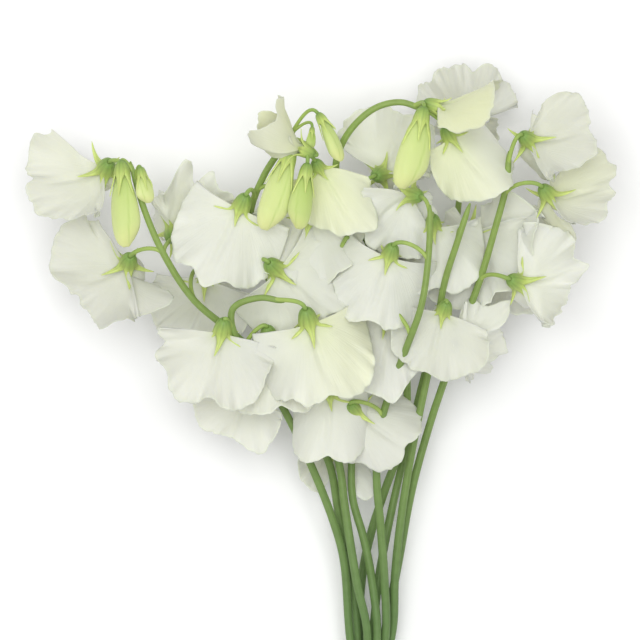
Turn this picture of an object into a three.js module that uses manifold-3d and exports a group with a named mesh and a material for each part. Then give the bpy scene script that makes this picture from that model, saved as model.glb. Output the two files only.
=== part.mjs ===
// A bunch of nine cut sweet pea stems lying on a surface, held by one elastic band.
// Millimetres. Laid out with x to the right, y from the cut ends towards the blooms,
// and z up from the surface. A bloom's own frame has z from the calyx to the keel tip
// and y towards its standard, the large back petal.
import * as THREE from "three";
import Module from "manifold-3d";

const wasm = await Module();
wasm.setup();

const DEG = Math.PI / 180;
const vec = (p) => new THREE.Vector3(p[0], p[1], p[2]);

// Sizes shared by all pieces
const PETAL = 0.8;
const GAP = 0.4;
const PETAL_GAP = 0.5;
const FINE = 0.42;
const STEM_FOOT_R = 2.05;
const STEM_TIP_R = 1.5;
const STEM_END_Y = -246;
const PEDICEL_R = 1.05;
const CUP_LENGTH = 6.5;
const CUP_R = 4.0;
const SEPAL_LENGTH = 10;

// The elastic band: a plain ring with one flat facet on the surface
const BAND = { x: 24, y: -196, inner: 8.0, outer: 9.2, width: 5, sides: 18 };
const BAND_Z = BAND.outer * Math.cos(Math.PI / BAND.sides);
const SLOT_R = 5.65;

// Stems: the slot angle in the band (null is the middle) and points up to the tip
const STEMS = [
  { name: "a", slot: 157.5, route: [[15, -159, 18], [12, -121, 25], [6.5, -101, 30],
    [-5, -72, 39], [-16.5, -48, 44], [-37, -13, 52], [-63, 10, 60], [-78, 33, 66],
    [-87.5, 55, 68], [-94.5, 79, 68]] },
  { name: "b", slot: 202.5, route: [[19, -159, 14], [15, -121, 21], [9.5, -98, 24],
    [4.5, -72, 31], [-8, -50, 42], [-28, -28, 58], [-43, -6, 70], [-43, 6, 75],
    [-30, 11, 79], [-17.5, 9, 82]] },
  { name: "c", slot: 112.5, route: [[24, -159, 23], [18.5, -132, 29], [12.5, -94, 34],
    [9.5, -72, 36], [0, -40, 41], [-15, 0, 50], [-29, 28, 51], [-35, 51, 56],
    [-28, 72, 65], [-18, 87, 72], [-12, 96, 76]] },
  { name: "d", slot: 67.5, route: [[29, -159, 22], [26, -130, 26], [22, -110, 29],
    [16.5, -90, 30], [16, -70, 31], [18, -42, 32], [14, -12, 36], [6, 20, 40]] },
  { name: "e", slot: 22.5, route: [[33.5, -157, 20.5], [32.5, -130, 27], [30.5, -103, 34],
    [28.5, -80, 40], [29, -60, 44], [35, -36, 53], [43, -14, 66], [50.5, 8, 78],
    [54, 35, 81], [54.5, 57, 84]] },
  { name: "f", slot: 247.5, route: [[20, -159, 9], [21.5, -130, 13], [26, -108, 16],
    [33, -86, 21], [40, -66, 25], [44, -40, 32], [40, -5, 42], [26, 35, 52],
    [11, 62, 60], [8, 78, 66], [14, 93, 73], [27, 105, 78], [40, 108, 80],
    [52, 104, 80]] },
  { name: "g", slot: null, route: [[27, -158, 15], [30, -130, 19], [35, -103, 19],
    [41, -76, 19], [50, -40, 16], [60, 0, 16], [68, 40, 17], [72, 74, 20]] },
  { name: "h", slot: 337.5, route: [[37, -157, 15], [38, -130, 22], [41, -100, 29],
    [46, -68, 36], [53, -33, 42], [58, -8, 49], [62, 18, 62], [68, 38, 72],
    [74.5, 58, 76]] },
  { name: "i", slot: 292.5, route: [[33, -159, 9], [40, -122, 16], [46.5, -86, 25],
    [56, -51, 31], [63.5, -28, 38], [71, -5, 46], [80, 20, 56], [88, 48, 64],
    [93, 68, 68], [94, 84, 71]] },
];

// Blooms: calyx top, the way the keel points, the way the standard points, and form.
// open is the standard's final lean from the keel line, fold the radius it folds round
// (positive to the back, negative to the front), frill the waves of its rim.
const BLOOMS = [
  { name: "01", stem: "a", at: [-107, 76, 56], keel: [-0.25, -0.4, -0.87],
    back: [-0.95, -0.22, 0.1], open: 88, fold: 30, frill: [3.4, 6, 0.3], size: 1.14 },
  { name: "02", stem: "a", at: [-96, 29, 52], keel: [-0.15, -0.4, -0.9],
    back: [-0.9, -0.42, 0.05], open: 91, fold: 47, frill: [3.4, 6, 1.3], size: 1.1 },
  { name: "04", stem: "a", at: [-74, 43, 44], keel: [0.1, 0.3, -0.9],
    back: [0.65, 0.75, 0.1], open: 96, fold: 50, frill: [4.2, 7, 2.1], size: 1.1 },
  { name: "29", stem: "a", at: [-58, 22, 25], keel: [0.25, -0.4, -0.85],
    back: [-0.25, -0.95, 0.1], open: 96, fold: 55, frill: [3.0, 6, 0.8], size: 1.05 },
  { name: "06", stem: "b", at: [-48.5, -5, 72], keel: [-0.15, -0.75, -0.65],
    back: [-0.12, -0.65, 0.75], open: 60, fold: 70, frill: [3.2, 7, 0.4], size: 1.12 },
  { name: "07", stem: "b", at: [-6, 0, 80], keel: [0.15, -0.7, -0.68],
    back: [0.27, -0.65, 0.7], open: 61, fold: -32, frill: [2.4, 5, 2.6], size: 1.2 },
  { name: "08", stem: "b", at: [-25.5, -8.5, 66], keel: [0.12, -0.72, -0.68],
    back: [0.12, -0.68, 0.72], open: 61, fold: -42, frill: [2.8, 5, 1.7], size: 1.1 },
  { name: "27", stem: "b", at: [-38, -36, 48], keel: [0.0, -0.5, -0.85],
    back: [-0.3, -0.8, 0.5], open: 70, fold: 50, frill: [2.0, 5, 0.9], size: 0.88 },
  { name: "05", stem: "c", at: [-39, 57, 72], keel: [-0.3, -0.7, -0.65],
    back: [-0.35, -0.65, 0.7], open: 60, fold: -36, frill: [3.0, 5, 0.9], size: 1.12 },
  { name: "14", stem: "c", at: [-23, 26, 66], keel: [0.35, -0.35, -0.85],
    back: [0.7, -0.65, 0.2], open: 75, fold: -45, frill: [2.8, 6, 0.1], size: 1.15 },
  { name: "16", stem: "c", at: [-8, 84, 87], keel: [-0.88, 0.42, 0.1],
    back: [0.3, 0.85, 0.4], open: 44, fold: -12, frill: [1.6, 4, 0.5], size: 0.88 },
  { name: "15", stem: "c", at: [-1, 76, 76], keel: [0.25, -0.5, -0.8],
    back: [0.5, -0.8, 0.4], open: 66, fold: -30, frill: [2.0, 5, 1.4], size: 0.86 },
  { name: "30", stem: "c", at: [-4, 52, 61], keel: [-0.1, -0.35, -0.9],
    back: [-0.35, -0.9, 0.1], open: 85, fold: 60, frill: [3.2, 6, 2.2], size: 1.05 },
  { name: "23", stem: "f", at: [30, 73, 48], keel: [0.3, 0.1, -0.85],
    back: [0.35, 0.93, 0.0], open: 90, fold: 36, frill: [3.4, 6, 0.6], size: 1.05 },
  { name: "21", stem: "f", at: [64, 92, 72], keel: [0.35, -0.62, -0.7],
    back: [0.62, -0.66, 0.5], open: 61, fold: -22, frill: [2.0, 5, 1.1], size: 0.98 },
  { name: "20", stem: "f", at: [57, 106, 83], keel: [0.9, -0.3, -0.1],
    back: [0.3, 0.85, 0.4], open: 46, fold: -20, frill: [1.6, 4, 2.0], size: 0.92 },
  { name: "13", stem: "e", at: [35, 33, 74], keel: [-0.2, -0.6, -0.75],
    back: [-0.25, -0.8, 0.5], open: 62, fold: -26, frill: [2.6, 5, 0.2], size: 1.05 },
  { name: "17", stem: "e", at: [47, 62, 68], keel: [-0.45, 0.1, -0.85],
    back: [-0.75, -0.6, 0.1], open: 88, fold: 50, frill: [3.0, 6, 1.9], size: 1.0 },
  { name: "18", stem: "e", at: [56.5, 48, 61], keel: [0.05, -0.6, -0.8],
    back: [0.0, -0.8, 0.6], open: 62, fold: -36, frill: [2.8, 6, 2.7], size: 1.0 },
  { name: "11", stem: "h", at: [62, 5, 62], keel: [-0.2, -0.6, -0.75],
    back: [-0.2, -0.8, 0.5], open: 64, fold: 45, frill: [2.8, 6, 1.0], size: 0.96 },
  { name: "12", stem: "h", at: [67, -13, 54], keel: [0.45, -0.25, 0.8],
    back: [0.8, 0.2, -0.35], open: 92, fold: 40, frill: [3.6, 7, 0.7], size: 0.84 },
  { name: "19", stem: "h", at: [74, 44, 47], keel: [0.35, -0.2, -0.9],
    back: [0.5, -0.85, 0.05], open: 90, fold: 50, frill: [3.0, 6, 1.5], size: 1.1 },
  { name: "24", stem: "i", at: [103, 90, 70], keel: [0.4, -0.3, -0.85],
    back: [0.9, 0.12, 0.1], open: 88, fold: 42, frill: [3.0, 5, 0.9], size: 1.02 },
  { name: "25", stem: "i", at: [113, 63, 68], keel: [0.4, -0.5, -0.8],
    back: [0.92, 0.25, 0.2], open: 82, fold: 36, frill: [2.8, 5, 1.8], size: 1.02 },
  { name: "26", stem: "i", at: [98, 19, 62], keel: [0.5, -0.2, -0.8],
    back: [0.93, 0.2, 0.1], open: 94, fold: 40, frill: [3.8, 7, 0.0], size: 1.06 },
  { name: "22", stem: "g", at: [74, 100, 20], keel: [0.05, -0.3, 0.9],
    back: [0.0, 0.95, 0.3], open: 92, fold: 45, frill: [4.4, 8, 1.3], size: 1.0 },
  { name: "31", stem: "g", at: [88, 36, 25.5], keel: [0.3, -0.3, -0.9],
    back: [0.8, -0.5, 0.1], open: 92, fold: 60, frill: [3.0, 6, 0.2], size: 1.15 },
  { name: "09", stem: "d", at: [5, -36, 64], keel: [0.0, -0.6, -0.78],
    back: [-0.05, -0.8, 0.6], open: 62, fold: -20, frill: [1.6, 4, 1.6], size: 1.0 },
  { name: "10", stem: "e", at: [16.5, -44.5, 55], keel: [0.2, -0.4, -0.88],
    back: [0.8, -0.5, 0.3], open: 72, fold: -34, frill: [2.0, 4, 0.4], size: 1.02 },
  { name: "28", stem: "d", at: [6, -62, 20], keel: [0.1, -0.4, -0.9],
    back: [0.1, -0.95, 0.1], open: 96, fold: 50, frill: [3.4, 6, 1.1], size: 0.8 },
  { name: "32", stem: "d", at: [14, 38, 55], keel: [0.0, -0.35, -0.9],
    back: [0.0, -0.95, 0.1], open: 90, fold: 60, frill: [3.0, 6, 2.4], size: 1.1 },
  { name: "33", stem: "e", at: [33, 4, 60], keel: [0.0, -0.4, -0.9],
    back: [-0.1, -0.95, 0.2], open: 80, fold: 50, frill: [3.0, 6, 0.7], size: 1.0 },
];

// Buds: calyx top, the way the tip points, the way the back points, length and width
const BUDS = [
  { name: "left_large", stem: "a", at: [-98.5, 73, 70], tip: [0.05, -0.99, 0.1],
    back: [-0.3, 0, 0.95], length: 36, width: 14.5 },
  { name: "left_small", stem: "a", at: [-88.5, 72, 74.5], tip: [0.2, -0.97, 0.05],
    back: [0.3, 0, 0.95], length: 14, width: 9 },
  { name: "middle_pale", stem: "c", at: [-16, 79, 86], tip: [-0.3, -0.93, 0.0],
    back: [-0.2, 0, 0.95], length: 36, width: 15 },
  { name: "middle_green", stem: "c", at: [-7, 72, 90], tip: [-0.15, -0.97, 0.0],
    back: [0.2, 0, 0.95], length: 27, width: 12 },
  { name: "top_small", stem: "c", at: [-4, 93.5, 83.6], tip: [-0.1, -0.97, 0.1],
    back: [0.2, 0, 0.95], length: 10, width: 5 },
  { name: "top_end", stem: "c", at: [1, 99, 82], tip: [0.5, -0.83, 0.1],
    back: [0.7, 0.3, 0.5], length: 22, width: 9 },
  { name: "arch", stem: "f", at: [50, 99, 90], tip: [-0.2, -0.96, 0.0],
    back: [0.1, 0, 0.95], length: 35, width: 16.5 },
];

// Form of the petals, in millimetres on a bloom of size 1
const STANDARD = { height: 36, claw: 2.2, start: 20, bend: 0.34, rows: [0, 0.42, 1],
  columns: 7, reach: 92 };
const WING = { length: 23, rows: [0, 0.5, 1], columns: 3, from: -50, to: 52, out: 26,
  lean: 40, cup: 3.0 };
const HALF_OPEN = 55;
const NODDING = 70;
const KEEL = { length: 17, half: 2.2, tall: 3.8, stations: [0, 0.6, 1] };

// Closed solids from points and faces
function solid(points, faces) {
  const vertProperties = new Float32Array(points.flatMap((p) => [p.x, p.y, p.z]));
  const triVerts = new Uint32Array(faces.flat());
  return new wasm.Manifold(new wasm.Mesh({ numProp: 3, vertProperties, triVerts }));
}

// A thin sheet over a grid of points, both faces split into triangles alike
function sheet(grid, thickness) {
  const rows = grid.length;
  const columns = grid[0].length;
  const near = (i, j) => grid[Math.min(rows - 1, Math.max(0, i))][Math.min(columns - 1, Math.max(0, j))];
  const upper = [];
  const lower = [];
  for (let i = 0; i < rows; i++) {
    for (let j = 0; j < columns; j++) {
      const along = near(i + 1, j).clone().sub(near(i - 1, j));
      const across = near(i, j + 1).clone().sub(near(i, j - 1));
      const normal = along.cross(across).normalize().multiplyScalar(thickness / 2);
      upper.push(grid[i][j].clone().add(normal));
      lower.push(grid[i][j].clone().sub(normal));
    }
  }
  const count = rows * columns;
  const id = (i, j) => i * columns + j;
  const faces = [];
  for (let i = 0; i < rows - 1; i++) {
    for (let j = 0; j < columns - 1; j++) {
      const [a, b, c, d] = [id(i, j), id(i + 1, j), id(i + 1, j + 1), id(i, j + 1)];
      faces.push([a, b, c], [a, c, d]);
      faces.push([count + a, count + c, count + b], [count + a, count + d, count + c]);
    }
  }
  const rim = [];
  for (let j = 0; j < columns - 1; j++) rim.push([id(0, j), id(0, j + 1)]);
  for (let i = 0; i < rows - 1; i++) rim.push([id(i, columns - 1), id(i + 1, columns - 1)]);
  for (let j = columns - 1; j > 0; j--) rim.push([id(rows - 1, j), id(rows - 1, j - 1)]);
  for (let i = rows - 1; i > 0; i--) rim.push([id(i, 0), id(i - 1, 0)]);
  for (const [a, b] of rim) faces.push([a, b, count + b], [a, count + b, count + a]);
  return solid([...upper, ...lower], faces);
}

// A closed loft through rings of points, each ring turning the same way
function loft(rings) {
  const sides = rings[0].length;
  const points = rings.flat();
  const last = (rings.length - 1) * sides;
  const faces = [];
  for (let r = 0; r < rings.length - 1; r++) {
    for (let k = 0; k < sides; k++) {
      const [a, b] = [r * sides + k, r * sides + ((k + 1) % sides)];
      faces.push([a, b, b + sides], [a, b + sides, a + sides]);
    }
  }
  for (let k = 1; k < sides - 1; k++) {
    faces.push([0, k + 1, k], [last, last + k, last + k + 1]);
  }
  return solid(points, faces);
}

// Rings round a path, with a radius at each point
function tube(path, radii, sides) {
  let side = new THREE.Vector3(0, 0, 1);
  const rings = path.map((p, i) => {
    const ahead = path[Math.min(i + 1, path.length - 1)].clone();
    const tangent = ahead.sub(path[Math.max(i - 1, 0)]).normalize();
    side = side.clone().addScaledVector(tangent, -side.dot(tangent)).normalize();
    const other = tangent.clone().cross(side);
    return Array.from({ length: sides }, (_, k) => {
      const turn = (k / sides) * 2 * Math.PI;
      return p.clone().addScaledVector(side, Math.cos(turn) * radii[i])
        .addScaledVector(other, Math.sin(turn) * radii[i]);
    });
  });
  return loft(rings);
}

// A frame from where a bloom or bud sits and the two ways it points
function frameOf(at, forward, back) {
  const z = vec(forward).normalize();
  const y = vec(back);
  y.addScaledVector(z, -y.dot(z)).normalize();
  const x = y.clone().cross(z);
  return new THREE.Matrix4().makeBasis(x, y, z).setPosition(vec(at));
}

// Stem line from its cut end through the band to its tip
function stemCurve(stem) {
  const turn = stem.slot === null ? 0 : stem.slot * DEG;
  const r = stem.slot === null ? 0 : SLOT_R;
  const [dx, dz] = [r * Math.cos(turn), r * Math.sin(turn)];
  const at = (y, spread) => new THREE.Vector3(BAND.x + spread * dx, y, BAND_Z + spread * dz);
  const held = [at(STEM_END_Y + 0.8 * dx, 1.12), at(BAND.y - 6, 1), at(BAND.y + 6, 1)];
  return new THREE.CatmullRomCurve3([...held, ...stem.route.map(vec)], false, "centripetal");
}

const curves = Object.fromEntries(STEMS.map((stem) => [stem.name, stemCurve(stem)]));

// Pedicel line from the stem to the back of a calyx
const PEDICEL_LEAD = 8;
function pedicelCurve(curve, frame, scale) {
  const base = new THREE.Vector3(0, 0, 1 - CUP_LENGTH * scale).applyMatrix4(frame);
  const forward = new THREE.Vector3().setFromMatrixColumn(frame, 2);
  const marks = curve.getSpacedPoints(160);
  const step = curve.getLength() / 160;
  let best = 0;
  marks.forEach((p, i) => {
    if (p.distanceTo(base) < marks[best].distanceTo(base)) best = i;
  });
  const leave = Math.max(1, best - Math.round(PEDICEL_LEAD / step));
  const start = marks[leave];
  const reach = start.distanceTo(base);
  const way = marks[leave + 1 > 160 ? 160 : leave + 1].clone().sub(marks[leave - 1]).normalize();
  return new THREE.CubicBezierCurve3(start, start.clone().addScaledVector(way, reach * 0.4),
    base.clone().addScaledVector(forward, -reach * 0.45), base);
}

// How sepals stand: their lean from the keel line, the further turn of their tips and
// their length. They lie along a bud, hang from a nodding bloom and spread on an open one.
function sepalsOf(one) {
  if (one.tip !== undefined) return { lean: 17, curl: -8, length: 13 };
  return { lean: one.open > NODDING ? 74 : 42, curl: 14, length: SEPAL_LENGTH };
}

// Calyx: a five-sided cup with five pointed sepals, one closed solid in the bloom's frame
function calyx(frame, sepals, scale, grow) {
  const point = (r, turn, z, shift = 0) => new THREE.Vector3(
    scale * (r * Math.cos(turn) - shift * Math.sin(turn)),
    scale * (r * Math.sin(turn) + shift * Math.cos(turn)), scale * z).applyMatrix4(frame);
  const [foot, notch, ridge, mid, tip] = [[], [], [], [], []];
  for (let k = 0; k < 5; k++) {
    const turn = (0.25 + k / 5) * 2 * Math.PI;
    foot.push(point(1.3 + grow, turn - Math.PI / 5, -CUP_LENGTH - grow));
    notch.push(point(CUP_R + grow, turn - Math.PI / 5, Math.min(grow - 0.1, 0)));
    ridge.push(point(CUP_R + 0.3 + grow, turn, -2.3 - grow));
    const lean = sepals.lean * DEG;
    const reach = sepals.length / 2;
    const [r, z] = [CUP_R - 0.5 + reach * Math.sin(lean), -1 + reach * Math.cos(lean)];
    const [drop, half] = [0.8 + 2 * grow, 1.6 + grow];
    const up = grow * Math.sin(lean);
    mid.push([point(r, turn, z + up, -half), point(r, turn, z + up, half),
      point(r + drop * Math.cos(lean), turn, z - drop * Math.sin(lean))]);
    const bend = (sepals.lean + sepals.curl) * DEG;
    const run = reach + grow;
    tip.push(point(r + run * Math.sin(bend), turn, z + run * Math.cos(bend)));
  }
  const points = [...foot, ...notch, ...ridge, ...mid.flat(), ...tip];
  const faces = [[0, 2, 1], [0, 3, 2], [0, 4, 3], [5, 6, 7], [5, 7, 8], [5, 8, 9]];
  for (let k = 0; k < 5; k++) {
    const next = (k + 1) % 5;
    const [f, fn, n, nn, r] = [k, next, 5 + k, 5 + next, 10 + k];
    const [m, t] = [15 + 3 * k, 30 + k];
    faces.push([f, fn, r], [f, r, n], [fn, nn, r]);
    faces.push([n, m, m + 1], [n, m + 1, nn], [nn, m + 1, m + 2], [nn, m + 2, r]);
    faces.push([r, m + 2, m], [r, m, n], [m, t, m + 1], [m + 1, t, m + 2], [m + 2, t, m]);
  }
  return solid(points, faces);
}

// Standard: a broad notched petal that rises from its claw, bends back and is frilled
function standardPoint(bloom, phi, rho) {
  const { height, claw, start, bend } = STANDARD;
  const notch = 1 - 0.09 * Math.exp(-((phi / 0.2) ** 2));
  const rim = height * notch * (0.72 + 0.28 * Math.cos(phi));
  const p = (claw * (1 - rho) + rim * rho) * Math.sin(phi);
  const q = rim * rho * Math.cos(phi);
  let [y, z, lean] = [1.6, 1.0, start * DEG];
  const steps = 12;
  for (let k = 0; k < steps; k++) {
    const t = Math.min(1, ((k + 0.5) * Math.max(q, 0)) / steps / (bend * height));
    lean = (start + (bloom.open - start) * t * t * (3 - 2 * t)) * DEG;
    y += (Math.sin(lean) * q) / steps;
    z += (Math.cos(lean) * q) / steps;
  }
  const side = bloom.fold * Math.sin(p / bloom.fold);
  const drop = bloom.fold * (1 - Math.cos(p / bloom.fold));
  const [waves, count, phase] = bloom.frill;
  const push = drop + waves * Math.sin(count * phi + phase) * rho ** 2.5;
  return [side, y + push * Math.cos(lean), z - push * Math.sin(lean)];
}

// Wings: two cupped petals that lean out on either side of the keel
function wingPoint(bloom, hand, phi, rho) {
  const half = bloom.open < HALF_OPEN;
  const [out, lean] = [(half ? 8 : WING.out) * DEG, (half ? 10 : WING.lean) * DEG];
  const rim = (half ? 0.62 : 1) * WING.length * (0.74 + 0.26 * Math.cos(phi - 0.35));
  const a = rim * rho * Math.cos(phi);
  const b = rim * rho * Math.sin(phi) + 1.4 * (1 - rho) * Math.sin(phi);
  const wave = 0.5 * bloom.frill[0] * Math.sin(4 * phi + bloom.frill[2] + hand) * rho ** 3;
  const cup = 4 * WING.cup * rho * (1 - rho) + wave;
  return [hand * (2.1 + a * Math.sin(out) + b * Math.sin(lean) + cup * Math.cos(lean)),
    -1.4 + b * Math.cos(lean) - cup * Math.sin(lean) * 0.5, 2.4 + a * Math.cos(out)];
}

function bloomSolid(bloom, grow) {
  const frame = frameOf(bloom.at, bloom.keel, bloom.back);
  const place = ([x, y, z]) => {
    const spot = new THREE.Vector3(x, y, z).multiplyScalar(bloom.size).applyMatrix4(frame);
    spot.z = Math.max(spot.z, PETAL / 2);
    return spot;
  };
  const fan = (petal, from, to, columns, rows) => rows.map((rho) =>
    Array.from({ length: columns }, (_, j) =>
      place(petal((from + ((to - from) * j) / (columns - 1)) * DEG, rho + (rho === 1 ? grow / 30 : 0)))));
  const { reach } = STANDARD;
  let body = sheet(fan((phi, rho) => standardPoint(bloom, phi, rho),
    -reach - grow, reach + grow, STANDARD.columns, STANDARD.rows), PETAL + 2 * grow);
  for (const hand of [-1, 1]) {
    const grid = fan((phi, rho) => wingPoint(bloom, hand, phi, rho),
      WING.from - grow, WING.to + grow, WING.columns, WING.rows);
    body = body.add(sheet(grid, PETAL + 2 * grow));
  }
  const keel = KEEL.stations.map((t) => {
    const half = (KEEL.half * (1 - 0.8 * t * t) + grow) * (t === 0 ? 0.6 : 1);
    const tall = KEEL.tall * (0.55 + 0.6 * t - 0.95 * t * t) + grow;
    const y = -1.6 + 5 * t * t;
    const z = 3 + KEEL.length * t;
    return [[half, y, z], [0, y + tall, z], [-half, y, z], [0, y - tall, z]].map(place);
  });
  body = body.add(loft(keel));
  const plug = [[0.35, 3.7], [3.6, 3.2]].map(([z, r]) => Array.from({ length: 5 }, (_, k) => {
    const turn = (0.25 + k / 5) * 2 * Math.PI;
    return place([(r + grow) * Math.cos(turn), (r + grow) * Math.sin(turn), z]);
  }));
  return body.add(loft(plug)).asOriginal().simplify(grow > 0 ? 0.5 : FINE);
}

// Buds: folded petals as a flattened pod with a hooked tip
function budSolid(bud, grow) {
  const frame = frameOf(bud.at, bud.tip, bud.back);
  const stations = [[0, 0.38], [0.2, 0.7], [0.45, 0.96], [0.7, 1], [0.9, 0.62], [1, 0.14]];
  const rings = stations.map(([t, wide]) => Array.from({ length: 6 }, (_, k) => {
    const turn = (k / 6) * 2 * Math.PI;
    const half = (bud.width / 2) * wide + grow;
    const x = half * Math.cos(turn);
    const y = 0.74 * half * Math.sin(turn) * (Math.sin(turn) > 0 ? 0.85 : 1.15);
    const hook = -0.16 * bud.length * t * t;
    return new THREE.Vector3(x, y + hook, 0.4 + (bud.length - 0.4) * t).applyMatrix4(frame);
  }));
  return loft(rings);
}

// Green part of one stem: the stem, its pedicels, cups and sepals
function stemSolid(stem, grow) {
  const curve = curves[stem.name];
  const steps = curve.points.length - 1;
  const path = curve.getPoints(steps);
  const radii = path.map((_, i) => STEM_FOOT_R + (STEM_TIP_R - STEM_FOOT_R) * (i / steps) ** 2 + grow);
  let body = tube(path, radii, 6);
  const carried = [...BLOOMS, ...BUDS].filter((one) => one.stem === stem.name);
  for (const one of carried) {
    const isBud = one.tip !== undefined;
    const frame = frameOf(one.at, one.tip ?? one.keel, one.back);
    const small = isBud ? Math.min(1, one.width / 14) : one.size;
    const line = pedicelCurve(curve, frame, small).getSpacedPoints(2);
    body = body.add(tube(line, line.map(() => PEDICEL_R * small ** 0.3 + grow), 4));
    body = body.add(calyx(frame, sepalsOf(one), small, grow));
  }
  return body.asOriginal().simplify(FINE);
}

function bandSolid() {
  const ring = (radius, y) => Array.from({ length: BAND.sides }, (_, k) => {
    const turn = ((k + 0.5) / BAND.sides) * 2 * Math.PI - Math.PI / 2;
    return new THREE.Vector3(BAND.x + radius * Math.cos(turn), y, BAND_Z + radius * Math.sin(turn));
  });
  const [front, behind] = [BAND.y - BAND.width / 2, BAND.y + BAND.width / 2];
  const outer = loft([ring(BAND.outer, behind), ring(BAND.outer, front)]);
  const inner = loft([ring(BAND.inner, behind + 1), ring(BAND.inner, front - 1)]);
  return outer.subtract(inner);
}

// The largest connected piece of a solid, without loose scraps
const largest = (body) => body.decompose().sort((a, b) => b.volume() - a.volume())[0];
const whole = (body) => largest(body.asOriginal().simplify(FINE));

// Do the boxes round two solids meet
function near(a, b) {
  const [p, q] = [a.boundingBox(), b.boundingBox()];
  return [0, 1, 2].every((k) => p.min[k] < q.max[k] && q.min[k] < p.max[k]);
}

// Colours from the photograph
const paint = (color, roughness) => new THREE.MeshStandardMaterial({ color, roughness, metalness: 0 });
const GREEN = paint(0x6f9a4e, 0.6);
const WHITE = paint(0xf4f5ee, 0.7);
const CREAM = paint(0xeef0d0, 0.7);
const BUD = paint(0xd3dd8e, 0.65);
const RUBBER = paint(0xb9b39c, 0.8);

const bunch = new THREE.Group();
function addNode(name, body, material) {
  const { vertProperties, triVerts, numProp } = body.getMesh();
  const geometry = new THREE.BufferGeometry();
  const points = new Float32Array(triVerts.length * 3);
  triVerts.forEach((v, i) => {
    for (let k = 0; k < 3; k++) points[3 * i + k] = vertProperties[v * numProp + k];
  });
  geometry.setAttribute("position", new THREE.BufferAttribute(points, 3));
  geometry.computeVertexNormals();
  const mesh = new THREE.Mesh(geometry, material);
  mesh.name = name;
  bunch.add(mesh);
}

const CREAMY = ["07", "16", "15", "21", "20", "25"];
const greens = STEMS.map((stem) => ({ solid: stemSolid(stem, 0), room: stemSolid(stem, GAP) }));
greens.forEach(({ solid: body }, i) => addNode(`stem_${STEMS[i].name}`, whole(body), GREEN));

// Petals stop just short of the stems and of the blooms and buds laid before them
const rooms = greens.map((green) => green.room);
const laid = greens.map((green) => green.solid);
function clearOfOthers(full, room) {
  const crosses = (body, other) => near(body, other) && body.intersect(other).volume() > 1e-4;
  const less = (body, others) => others.reduce(
    (rest, other) => (crosses(rest, other) ? rest.subtract(other) : rest), body);
  const body = largest(less(whole(less(full, rooms)), laid));
  rooms.push(room);
  laid.push(body);
  return body;
}
for (const bud of BUDS) {
  addNode(`bud_${bud.name}`, clearOfOthers(budSolid(bud, 0), budSolid(bud, GAP)), BUD);
}
for (const bloom of BLOOMS) {
  const body = clearOfOthers(bloomSolid(bloom, 0), bloomSolid(bloom, PETAL_GAP));
  addNode(`bloom_${bloom.name}`, body, CREAMY.includes(bloom.name) ? CREAM : WHITE);
}
addNode("band", bandSolid(), RUBBER);

// Origin at the middle of the footprint, on the surface
const box = new THREE.Box3().setFromObject(bunch);
bunch.position.set(-(box.min.x + box.max.x) / 2, -(box.min.y + box.max.y) / 2, -box.min.z);

export default bunch;
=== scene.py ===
"""The looks of a bunch of cut sweet peas: petals, buds, calyxes, stems and band, with
materials, floor, light and camera. The layout tables repeat those of the part's source,
in millimetres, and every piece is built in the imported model's frame, in metres."""
import math

import bpy
import numpy as np
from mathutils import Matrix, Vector


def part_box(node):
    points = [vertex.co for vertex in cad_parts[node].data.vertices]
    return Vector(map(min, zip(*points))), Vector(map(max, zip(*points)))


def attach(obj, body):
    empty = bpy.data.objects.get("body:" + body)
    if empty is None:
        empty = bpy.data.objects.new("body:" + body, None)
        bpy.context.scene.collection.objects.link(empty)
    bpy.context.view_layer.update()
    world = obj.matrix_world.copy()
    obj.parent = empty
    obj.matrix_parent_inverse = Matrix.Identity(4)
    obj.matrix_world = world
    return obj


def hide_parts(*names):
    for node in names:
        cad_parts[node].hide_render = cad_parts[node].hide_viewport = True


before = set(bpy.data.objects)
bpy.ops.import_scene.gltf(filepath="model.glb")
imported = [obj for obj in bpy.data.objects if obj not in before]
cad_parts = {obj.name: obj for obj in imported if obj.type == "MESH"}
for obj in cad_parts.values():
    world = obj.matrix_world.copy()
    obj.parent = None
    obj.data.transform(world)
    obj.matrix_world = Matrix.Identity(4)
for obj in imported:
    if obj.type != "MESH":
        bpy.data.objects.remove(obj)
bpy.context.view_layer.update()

MM = 0.001
DEG = math.pi / 180
TURN = 2 * math.pi
UP = np.array([0.0, 0.0, 1.0])

# Sizes shared with the solids; the spread and stagger are those of the stems' cut ends, and
# the flat is how near the middle of the band its flat sides come, as a share of its radius
STEM_FOOT_R = 2.05
STEM_TIP_R = 1.5
STEM_END_Y = -246
END_SPREAD = 1.12
END_STAGGER = 0.8
PEDICEL_R = 1.05
PEDICEL_LEAD = 8
CUP_LENGTH = 6.5
BAND = {"x": 24, "y": -196, "inner": 8.0, "outer": 9.2, "width": 5, "sides": 18}
BAND_FLAT = math.cos(math.pi / BAND["sides"])
BAND_Z = BAND["outer"] * BAND_FLAT
BAND_HOLD = 6
SLOT_R = 5.65

# Opening angle of the standard: half-open blooms are below the first, nodding ones above the second
HALF_OPEN = 55
NODDING = 70

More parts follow.
